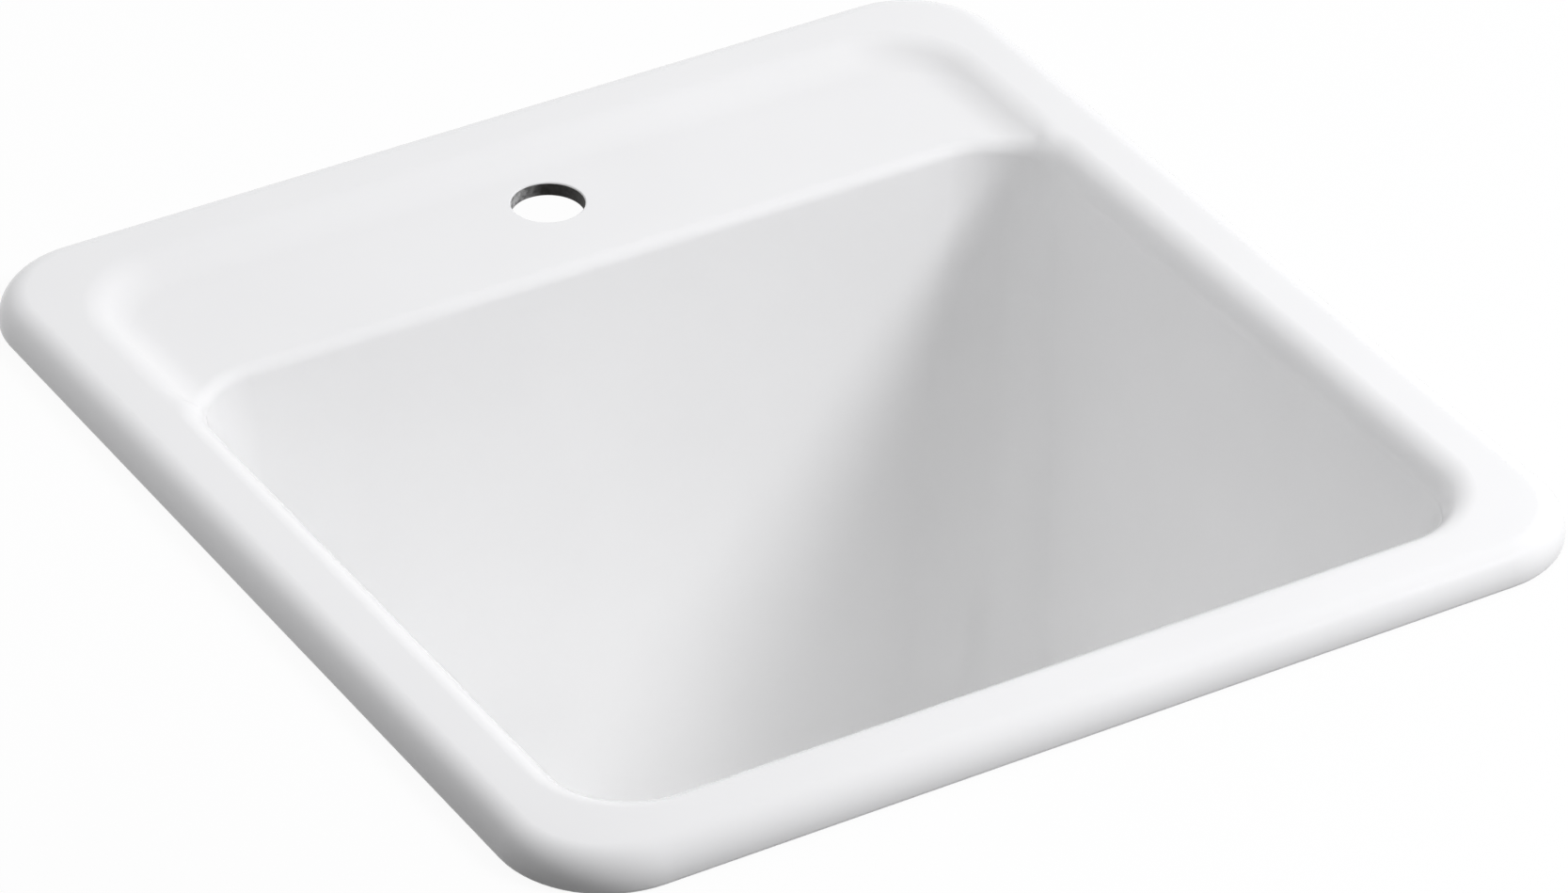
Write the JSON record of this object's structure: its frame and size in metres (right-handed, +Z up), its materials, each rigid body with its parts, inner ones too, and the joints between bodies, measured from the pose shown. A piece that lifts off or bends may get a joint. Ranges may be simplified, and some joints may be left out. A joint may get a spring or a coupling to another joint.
{
  "type": "laundry sink",
  "caption": "Drop-in laundry sink of enamelled cast iron: rolled rim, recessed faucet deck with a hole, deep tapered bowl and a basket strainer with a lift-out basket and push-down stopper.",
  "frame": {"origin": "middle of the rim's outline, on the counter surface that the rim rests on", "axes": "+X to the right, +Y back towards the faucet deck, +Z up"},
  "size_m": [0.5334, 0.5588, 0.5213],
  "materials": {
    "enamelled_iron": "glossy white enamel, bare iron below",
    "putty": "matt",
    "stainless": "brushed",
    "black_rubber": "matt",
    "fibre": "matt",
    "cast_brass": "as cast",
    "white_plastic": "satin",
    "plated_nut": "plated",
    "plated_tube": "plated"
  },
  "bodies": {
    "sink": {"sink_casting": "enamelled_iron", "putty_bed": "putty", "strainer_body": "stainless", "body_gasket": "black_rubber", "friction_ring": "fibre", "locknut": "cast_brass", "tailpiece_washer": "white_plastic", "coupling_nut": "plated_nut", "tailpiece": "plated_tube"},
    "basket": {"basket_cup": "stainless", "hub_bush": "white_plastic"},
    "stopper": {"stem_post": "stainless", "stem_knob": "plated_tube", "stopper_disc": "black_rubber", "stopper_washer": "stainless", "stopper_nut": "stainless"}
  },
  "joints": [
    {"name": "basket_lift", "type": "slide", "parent": "sink", "child": "basket", "axis": [0, 0, 1], "range_m": [0, 0.07]},
    {"name": "stopper_lift", "type": "slide", "parent": "basket", "child": "stopper", "axis": [0, 0, 1], "range_m": [0, 0.007]}
  ]
}
